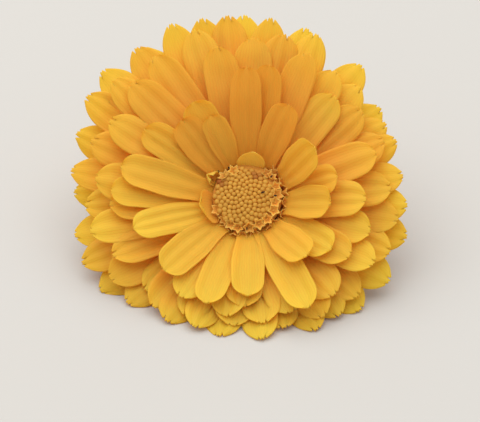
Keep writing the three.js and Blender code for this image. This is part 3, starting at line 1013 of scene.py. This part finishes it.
def floret_material(name, low, middle, high, browned):
    material, tree = empty_material(name)
    own = {
        key: add(tree, "ShaderNodeAttribute", attribute_type="GEOMETRY", attribute_name=key).outputs["Fac"]
        for key in ("tone", "shade", "browning")
    }
    place = add(tree, "ShaderNodeTexCoord").outputs["Object"]
    ramp = add(tree, "ShaderNodeValToRGB", {0: own["tone"]})
    ramp.color_ramp.elements.new(0.5)
    for element, (spot, colour) in zip(ramp.color_ramp.elements, [(0.0, low), (0.5, middle), (1.0, high)]):
        element.position = spot
        element.color = linear(colour)
    speckle = add(tree, "ShaderNodeTexNoise", {"Vector": place, "Scale": 1 / SPECKLE_SIZE, "Detail": 2.0})
    uneven = add(tree, "ShaderNodeMath", {0: own["shade"], 1: SHADE_WEIGHT, 2: speckle},
                 operation="MULTIPLY_ADD")
    share = add(tree, "ShaderNodeMapRange", {0: uneven, 1: 0.1, 2: 1.1, 3: 0.0, 4: 0.35})
    colour = ramp.outputs[0]
    for amount, tint in ((share, low), (own["browning"], browned)):
        mixed = add(tree, "ShaderNodeMix", {0: amount, 6: colour, 7: linear(tint)}, data_type="RGBA")
        colour = mixed.outputs[2]
    bump = add(tree, "ShaderNodeBump", {"Strength": 0.3, "Distance": SPECKLE_HEIGHT, "Height": speckle})
    skin = add(tree, "ShaderNodeBsdfPrincipled", {
        "Base Color": colour, "Roughness": 0.6, "Specular IOR Level": 0.3, "Normal": bump,
    })
    through = add(tree, "ShaderNodeBsdfTranslucent", {"Color": colour, "Normal": bump})
    both = add(tree, "ShaderNodeMixShader", {0: FLORET_LIGHT_SHARE, 1: skin, 2: through})
    add(tree, "ShaderNodeOutputMaterial", {0: both})
    return material


# Buds are amber, painted darker in shade at their sides and feet and lighter on top. Open florets are
# painted orange in the shaded throat and pale on the thin lobes that stand in the light.
BUD_TISSUE = floret_material("closed_floret_tissue", "#cc8c30", "#e4a83c", "#ecb84a", "#b86824")
OPEN_TISSUE = floret_material("open_floret_tissue", "#ee9e38", "#f6be4c", "#fce070", "#bc6e2c")
print("florets:", BUD_TISSUE.name, "and", OPEN_TISSUE.name)

# %% [markdown]
# Florets stand on the dome, so a rule tells its height at any distance from the middle. On two sides of
# the disc, towards the back, florets are coloured reddish brown: painting that by hand would not follow
# each floret's edge, so the share is worked out floret by floret.

# %% Set florets on the dome
DISC_TOP = DISC_OUTLINE[:1:-1]
# Direction on the disc and spread to both sides, in degrees, where florets are reddish brown
BROWN_SIDES = [(62, 24), (150, 18)]
# Browning grows between these distances from the middle
BROWN_RANGE = (3.6, 5.0)
BROWN_SHARE = 0.7
BROWN_SPREAD = 0.4
BROWN_ANYWHERE = 0.03


def disc_height(radius):
    for (r0, h0), (r1, h1) in zip(DISC_TOP, DISC_TOP[1:]):
        if radius <= r1:
            return h0 + (h1 - h0) * (radius - r0) / (r1 - r0)
    return DISC_TOP[-1][1]


def browning(radius, azimuth, draw):
    side = max(
        smooth(1, 0, abs((azimuth - middle + 180) % 360 - 180) / spread) for middle, spread in BROWN_SIDES
    )
    share = side * smooth(*BROWN_RANGE, radius) * (BROWN_SHARE + draw(BROWN_SPREAD)) + draw(BROWN_ANYWHERE)
    return min(1.0, max(0.0, share))


def set_out(name, blank, material, rows, offset=Vector()):
    numbers = {key: [row[key] for row in rows] for key in FLORET_NUMBERS}
    places = []
    for row in rows:
        angle = row["azimuth"]
        place = Vector((row["radius"] * math.cos(angle), row["radius"] * math.sin(angle), row["height"]))
        places.append(place + offset)
    mesh = points_mesh(name, places, numbers)
    blanks = collection_of(name + "_blanks", [blank])
    made = run_tree(SET_OUT, mesh, {"Blanks": blanks, "Material": material})
    as_piece(name, made, material, "disc_florets")


print("the dome's middle is", disc_height(0), "mm high")

# %% [markdown]
# The buds stand on the golden spiral too, the youngest and smallest in the middle, so their rows curve
# both ways as on a real disc. A square grid or a random scatter would not.

# %% Closed buds
BUD_COUNT = 134
BUD_FIELD = 6.0
# The field of buds lies a little off the middle of the disc
FIELD_OFFSET = Vector((-0.55, -0.25, 0))
BUD_SPREAD_POWER = 0.54
BUD_LEAN = 3
BUD_LEAN_SPREAD = 4
BUD_RADIUS = 0.40
BUD_GROWTH = 0.10
BUD_FULLNESS = 1.32
BUD_TALL = 0.8
BUD_TALL_SPREAD = 0.08
BUD_SPREAD = 0.05

draw_disc = draws(4021)
bud_rows = []
for k in range(BUD_COUNT):
    share = (k + 0.5) / BUD_COUNT
    radius = BUD_FIELD * share ** BUD_SPREAD_POWER
    azimuth = k * GOLDEN_ANGLE
    bud_rows.append({
        "radius": radius,
        "height": disc_height(radius) + draw_disc(BUD_SPREAD),
        "azimuth": math.radians(azimuth),
        "lean": math.radians(BUD_LEAN * radius + draw_disc(BUD_LEAN_SPREAD)),
        "spin": math.pi * draw_disc(),
        "wide": (BUD_RADIUS + BUD_GROWTH * share) * (BUD_FULLNESS + draw_disc(BUD_SPREAD)),
        "tall": BUD_TALL + draw_disc(BUD_TALL_SPREAD),
        "shade": draw_disc(),
        "browning": browning(radius, azimuth, draw_disc),
    })
set_out("disc_buds", BUD_BLANK, BUD_TISSUE, bud_rows, FIELD_OFFSET)

# %% [markdown]
# Disc florets open from the rim inwards. One ring of open ones stands round the buds, and more of them
# lean out over the ray florets in front and on the right. None stand in front of the short ray floret
# above the disc.

# %% Open florets
OPEN_COUNT = 18
OPEN_FROM = -148
OPEN_STEP = 17
OPEN_RADIUS = 5.95
FRONT_BULGE = 0.6
OPEN_LEAN = 26
RIM_COUNT = 12
RIM_FROM = -140
RIM_STEP = 17
RIM_RADIUS = 7.45
RIM_LEAN = 56
OPEN_SINK = 0.25
BARE_SIDE = (70, 110)
OPEN_WIDE = 1.2
# How far they differ: angle and lean in degrees, distance from the middle, height, width and tallness
OPEN_ANGLE_SPREAD = 4
OPEN_LEAN_SPREAD = 22
OPEN_RADIUS_SPREAD = 0.2
OPEN_HEIGHT_SPREAD = 0.15
OPEN_WIDE_SPREAD = 0.14
OPEN_TALL_SPREAD = 0.15

open_places = []
for k in range(OPEN_COUNT):
    azimuth = OPEN_FROM + OPEN_STEP * k
    bulge = FRONT_BULGE * max(0, -math.sin(math.radians(azimuth)))
    open_places.append((azimuth, OPEN_RADIUS + bulge, OPEN_LEAN))
open_places += [(RIM_FROM + RIM_STEP * k, RIM_RADIUS, RIM_LEAN) for k in range(RIM_COUNT)]
open_rows = []
for even_azimuth, even_radius, lean in open_places:
    azimuth = even_azimuth + draw_disc(OPEN_ANGLE_SPREAD)
    radius = even_radius + draw_disc(OPEN_RADIUS_SPREAD)
    row = {
        "radius": radius,
        "height": disc_height(radius) - OPEN_SINK + draw_disc(OPEN_HEIGHT_SPREAD),
        "azimuth": math.radians(azimuth),
        "lean": math.radians(lean + draw_disc(OPEN_LEAN_SPREAD)),
        "spin": math.pi * draw_disc(),
        "wide": OPEN_WIDE + draw_disc(OPEN_WIDE_SPREAD),
        "tall": 1 + draw_disc(OPEN_TALL_SPREAD),
        "shade": draw_disc(),
        "browning": browning(radius, azimuth, draw_disc),
    }
    if not BARE_SIDE[0] < even_azimuth < BARE_SIDE[1]:
        open_rows.append(row)
set_out("open_florets", OPEN_BLANK, OPEN_TISSUE, open_rows)

# %% [markdown]
# A few anthers have dried and turned almost black. They are what gives a real disc its dark specks. A
# bud's blank, made slim and laid over, is enough for a thing less than a millimetre long.

# %% Dried anthers
# Direction in degrees and distance from the middle of each
DRIED = [(42, 6.3), (1, 5.8), (275, 7.0), (125, 7.3), (141, 8.0), (54, 7.4), (8, 3.4)]
DRIED_LIFT = 0.8
DRIED_LEAN = 60
DRIED_LEAN_SPREAD = 20
DRIED_WIDE = 0.16
DRIED_WIDE_SPREAD = 0.04
DRIED_TALL = 0.6
DRIED_TALL_SPREAD = 0.2
# Withered anther sacs: brown-black and quite without shine
DRIED_TISSUE = tissue_material("dried_anther", "#2a1608", "#452610", 0.3, 0.8)

dried_rows = []
for azimuth, radius in DRIED:
    dried_rows.append({
        "radius": radius,
        "height": disc_height(radius) + DRIED_LIFT,
        "azimuth": math.radians(azimuth),
        "lean": math.radians(DRIED_LEAN + draw_disc(DRIED_LEAN_SPREAD)),
        "spin": math.pi * draw_disc(),
        "wide": DRIED_WIDE + draw_disc(DRIED_WIDE_SPREAD),
        "tall": DRIED_TALL + draw_disc(DRIED_TALL_SPREAD),
        "shade": 0.0,
        "browning": 0.0,
    })
set_out("dried_anthers", BUD_BLANK, DRIED_TISSUE, dried_rows)

# %% [markdown]
# Behind the head is what a pot marigold has there: a green cup and two rows of narrow pointed bracts. The
# bracts are blades as well, with a keel, so the same tree bends them. The cup is turned like the dome,
# and Subdivision Surface rounds it.

# %% Bracts and cup
CUP_OUTLINE = [
    (0, -12.1), (3.4, -11.9), (6.4, -10.6), (7.8, -8.8), (8.6, -7.4), (9.1, -6.4),
    (8.9, -6.1), (8.4, -6.8), (0, -8.0),
]
CUP_ROUNDING = 1
BRACT_COUNT = 12
# Each row's root radius and height, length, rise at the root and at the tip, width
BRACT_ROWS = [(5.9, -9.5, 9.4, 20, 8, 2.6), (5.2, -10.7, 9.0, 18, 6, 2.4)]
BRACT_CLEARANCE = 0.5
BRACT_THICKNESS = 0.7
BRACT_CUP = -0.05
BRACT_SHEET = 0.5
BRACT_RIB = 0.14
BRACT_RIPPLE = (0.6, 5.0)
BRACT_DRIFT = 0.4
BRACT_TAPER = 0.55
BRACT_POINT = 5
BRACT_CORNER_DROP = 0.02
BRACT_LENGTH_SPREAD = 0.06
BRACT_RISE_SPREAD = 2
KEEL_BREADTH = 0.25


def bract_outline(along):
    return 1 - BRACT_TAPER * along


def bract_blank():
    def outline(along):
        breadth = bract_outline(along)
        return breadth * math.sqrt(max(0.0, 1 - along ** BRACT_POINT)), breadth

    def end_drop(across):
        return BRACT_CORNER_DROP * across ** 2

    def keel(across, along):
        return math.exp(-(across / KEEL_BREADTH) ** 2)

    return blank_mesh("bract_blank", 8, 18, outline, end_drop, keel)


def all_bracts(draw):
    bracts = []
    for number, (radius, height, length, rise, tip_rise, width) in enumerate(BRACT_ROWS):
        for k in range(BRACT_COUNT):
            azimuth = 360 / BRACT_COUNT * (k + number / len(BRACT_ROWS))
            long = length * (1 + draw(BRACT_LENGTH_SPREAD))
            tip = tip_rise + draw(BRACT_RISE_SPREAD)
            bract = Blade(azimuth, long, rise, tip, width, radius, height, BRACT_CUP)
            bract.thickness = BRACT_THICKNESS
            bract.outline = bract_outline
            bracts.append(raise_over(bract, BRACT_CLEARANCE))
    return bracts


def rounded(mesh, levels):
    def prepare(modifier):
        modifier.levels = levels
        modifier.render_levels = levels

    return applied(mesh, "SUBSURF", prepare)


# Fresh leaf skin under down: matt yellow-green in soft patches
GREEN_SKIN = tissue_material("downy_green_bract_skin", "#5c7a2e", "#86a045", 2.0, 0.7)
bract_mesh = bend("bracts", all_bracts(draws(905)), [bract_blank()], draws(88), GREEN_SKIN, BRACT_RIB,
                  BRACT_RIPPLE, BRACT_SHEET, BRACT_DRIFT, uneven=0.0)
cup = rounded(turned_mesh("green_cup", CUP_OUTLINE, sides=32), CUP_ROUNDING)
print("bracts:", len(bract_mesh.vertices), "points")

# %% [markdown]
# Bracts and stalk are downy: short tapering hairs stand all over them. Hair curves would be lost in the
# export, so a third tree scatters points over a skin, stands a slim cone on each and leans it off the
# skin's normal.

# %% The tree that grows down
HAIR_LENGTH = 0.5
HAIR_RADIUS = 0.035
HAIR_SIDES = 3
HAIR_JITTER = 0.5
HAIR_SIZES = (0.5, 1.4)


def hair_tree():
    tree, given = new_tree("grow_down", {
        "Geometry": "Geometry", "Density": "Float", "Length": "Float", "Radius": "Float",
        "Clearance": "Float", "Seed": "Int", "Material": "Material",
    })
    points = add(tree, "GeometryNodeDistributePointsOnFaces", {
        "Mesh": given["Geometry"], "Density": given["Density"], "Seed": given["Seed"],
    }, distribute_method="RANDOM")
    jitter = add(tree, "FunctionNodeRandomValue", {
        0: (-HAIR_JITTER,) * 3, 1: (HAIR_JITTER,) * 3, "Seed": given["Seed"],
    }, data_type="FLOAT_VECTOR")
    leaning = add(tree, "ShaderNodeVectorMath", {0: points.outputs["Normal"], 1: jitter}, operation="ADD")
    turned = add(tree, "FunctionNodeAlignRotationToVector", {"Vector": leaning}, axis="Z")
    cone = add(tree, "GeometryNodeMeshCone", {
        "Vertices": HAIR_SIDES, "Radius Top": 0.0, "Radius Bottom": given["Radius"],
        "Depth": given["Length"],
    })
    size = add(tree, "FunctionNodeRandomValue", {2: HAIR_SIZES[0], 3: HAIR_SIZES[1], "Seed": given["Seed"]},
               data_type="FLOAT")
    copies = add(tree, "GeometryNodeInstanceOnPoints", {
        "Points": points, "Instance": cone, "Rotation": turned, "Scale": size.outputs[1],
    })
    loose = add(tree, "GeometryNodeRealizeInstances", {"Geometry": copies})
    x, y, z = add(tree, "ShaderNodeSeparateXYZ", {0: add(tree, "GeometryNodeInputPosition")}).outputs
    lifted = add(tree, "ShaderNodeMath", {0: z, 1: given["Clearance"]}, operation="MAXIMUM")
    above = add(tree, "ShaderNodeCombineXYZ", {0: x, 1: y, 2: lifted})
    clear = add(tree, "GeometryNodeSetPosition", {"Geometry": loose, "Position": above})
    painted = add(tree, "GeometryNodeSetMaterial", {"Geometry": clear, "Material": given["Material"]})
    add(tree, "NodeGroupOutput", {0: painted})
    return tree


GROW_DOWN = hair_tree()
# Plant hairs are clear and catch the light, so they are the palest green
DOWN_SKIN = tissue_material("pale_plant_hair", "#b9c68a", "#dfe6c0", 0.5, 0.5)
# Hairs to a square millimetre
BRACT_DOWN = 2.2
STALK_DOWN = 5.0


def grow_down(name, skin, node, density, seed):
    hairs = run_tree(GROW_DOWN, skin, {
        "Density": density, "Length": HAIR_LENGTH, "Radius": HAIR_RADIUS, "Clearance": SURFACE_GAP,
        "Seed": seed, "Material": DOWN_SKIN,
    })
    as_piece(name, hairs, DOWN_SKIN, node, lay_down=False)


grow_down("bract_down", bract_mesh.copy(), "involucre", BRACT_DOWN, seed=5)
as_piece("bracts", bract_mesh, GREEN_SKIN, "involucre", lay_down=False)
as_piece("green_cup", cup, GREEN_SKIN, "involucre")

# %% [markdown]
# The stalk was cut short under the head. Its skin has seven blunt ribs, and the cut shows white pith with
# a small hollow. A bevelled curve would give a round stalk, so it is turned in rings and its ribs are
# pressed in. Its lower edge rests on the surface and is flat there.

# %% Stem
STEM_RADIUS = 2.0
STEM_GROOVE = 0.22
STEM_RIBS = 7
STEM_TOP = -12.0
STEM_BOTTOM = -18.2
CUT_SHARE = 0.8
CUT_RISE = 0.25
CUT_EDGE = 0.05
# Radius and height over the cut
PITH_OUTLINE = [(0, 0.5), (0.25, 0.45), (0.45, 0.05), (1.25, -0.02), (1.35, 0.1), (1.3, 0.9), (0, 0.9)]
# Ribbed skin of the stalk, lighter and smoother than the bracts
STALK_SKIN = tissue_material("ribbed_stalk_skin", "#6f8a3c", "#93a855", 1.6, 0.65)
# Pith is dry white foam: the palest and least shiny spot on the back
PITH_FLESH = tissue_material("white_stem_pith", "#cdd2a0", "#e9ead0", 0.5, 0.8)


def on_surface(mesh):
    """The mesh laid down with the head, flat where the surface stops it."""
    mesh.transform(HEAD)
    for vertex in mesh.vertices:
        vertex.co.z = max(vertex.co.z, SURFACE_GAP)
    return mesh


def stem_mesh(rings, sides):
    outline = [(0, STEM_BOTTOM + CUT_RISE), (STEM_RADIUS * CUT_SHARE, STEM_BOTTOM)]
    for k in range(rings):
        outline.append((STEM_RADIUS, STEM_BOTTOM + CUT_EDGE + (STEM_TOP - STEM_BOTTOM) * k / rings))
    outline += [(STEM_RADIUS, STEM_TOP), (0, STEM_TOP)]
    mesh = turned_mesh("stem", outline, sides)
    for vertex in mesh.vertices:
        angle = math.atan2(vertex.co.y, vertex.co.x)
        groove = STEM_GROOVE * (0.5 - 0.5 * math.cos(STEM_RIBS * angle)) / STEM_RADIUS
        vertex.co.x *= 1 - groove
        vertex.co.y *= 1 - groove
    return on_surface(mesh)


pith_outline = [(radius, STEM_BOTTOM + over) for radius, over in PITH_OUTLINE]
pith = on_surface(turned_mesh("stem_pith", pith_outline, sides=32))
as_piece("stem_pith", pith, PITH_FLESH, "stem", lay_down=False)
stalk = stem_mesh(rings=14, sides=56)
grow_down("stem_down", stalk.copy(), "stem", STALK_DOWN, seed=8)
as_piece("stem_stalk", stalk, STALK_SKIN, "stem", lay_down=False)

# %% [markdown]
# The floor is plain and pale, so that nothing but the flower has colour. A card that bends up behind
# would do as well. This one is flat, and so wide that the camera doesn't see its edge.

# %% Floor
FLOOR_SIZE = 3.0
CORNERS = ((-1, -1), (1, -1), (1, 1), (-1, 1))


def floor_piece():
    shape = bmesh.new()
    half = FLOOR_SIZE / 2
    shape.faces.new([shape.verts.new((half * x, half * y, 0)) for x, y in CORNERS])
    mesh = as_mesh("floor", shape)
    # Matt card: it takes soft shadows and shows no gloss
    material = bpy.data.materials.new("pale_matt_card")
    material.use_nodes = True
    skin = material.node_tree.nodes["Principled BSDF"]
    skin.inputs["Base Color"].default_value = linear("#b6b2ab")
    skin.inputs["Roughness"].default_value = 0.9
    mesh.materials.append(material)
    floor = bpy.data.objects.new("floor", mesh)
    bpy.context.collection.objects.link(floor)
    floor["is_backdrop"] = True
    print("floor:", FLOOR_SIZE, "m square")


floor_piece()

# %% [markdown]
# Petals look dull in hard light and lose their creases in light from everywhere. So one wide round lamp
# hangs above, a little to the left and behind, as a window would, and the room itself fills the shadows.

# %% Light
WINDOW_PLACE = Vector((-0.1, 0.12, 0.8))
WINDOW_AIM = Vector((0, 0, 0.02))
WINDOW_SIZE = 1.5
WINDOW_WATTS = 11
ROOM_COLOUR = "#eef0f4"
ROOM_STRENGTH = 0.87

lamp = bpy.data.lights.new("window_above", "AREA")
lamp.shape = "DISK"
lamp.size = WINDOW_SIZE
lamp.energy = WINDOW_WATTS
window = bpy.data.objects.new("window_above", lamp)
window.location = WINDOW_PLACE
window.rotation_euler = (WINDOW_AIM - WINDOW_PLACE).to_track_quat("-Z", "Y").to_euler()
bpy.context.collection.objects.link(window)
room = bpy.data.worlds.new("room")
room.use_nodes = True
background = room.node_tree.nodes["Background"]
background.inputs["Color"].default_value = linear(ROOM_COLOUR)
background.inputs["Strength"].default_value = ROOM_STRENGTH
bpy.context.scene.world = room
bpy.context.scene.view_settings.view_transform = "Standard"
print("window:", WINDOW_WATTS, "W, room:", ROOM_STRENGTH)

# %% [markdown]
# The camera looks from where the photo was taken, 35 degrees above the surface and 400 mm away. It could
# be placed by eye. Working it out from the photo's scale puts the middle of the disc on the right pixel
# at once.

# %% Camera
FRAME_WIDTH = 480
FRAME_HEIGHT = 422
PIXELS_PER_MM = 4.9
DISC_PIXEL = (247, 197)
CAMERA_DISTANCE = 0.4
CAMERA_ELEVATION = math.radians(35)
SENSOR_WIDTH = 36


def photo_camera():
    back = Vector((0, -math.cos(CAMERA_ELEVATION), math.sin(CAMERA_ELEVATION)))
    right = Vector((1, 0, 0))
    up = back.cross(right)
    across = (FRAME_WIDTH / 2 - DISC_PIXEL[0]) / PIXELS_PER_MM
    along = (DISC_PIXEL[1] - FRAME_HEIGHT / 2) / PIXELS_PER_MM
    aim = (DISC_CENTRE + right * across + up * along) * MM
    data = bpy.data.cameras.new("camera")
    data.sensor_width = SENSOR_WIDTH
    data.lens = SENSOR_WIDTH * CAMERA_DISTANCE / (FRAME_WIDTH / PIXELS_PER_MM * MM)
    camera = bpy.data.objects.new("camera", data)
    camera.location = aim + back * CAMERA_DISTANCE
    camera.rotation_euler = back.to_track_quat("Z", "Y").to_euler()
    bpy.context.collection.objects.link(camera)
    bpy.context.scene.camera = camera
    print("lens:", round(data.lens, 1), "mm")


photo_camera()

# %% [markdown]
# Last, the size of the dressed flower is set beside that of its solids. Looking at the picture would not
# show a millimetre too much, and the two boxes do.

# %% Sizes and finish
dressed_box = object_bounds()
for title, box in (("solid", solid_box), ("dressed", dressed_box)):
    print(title, [[round(x / MM, 2) for x in corner] for corner in box])
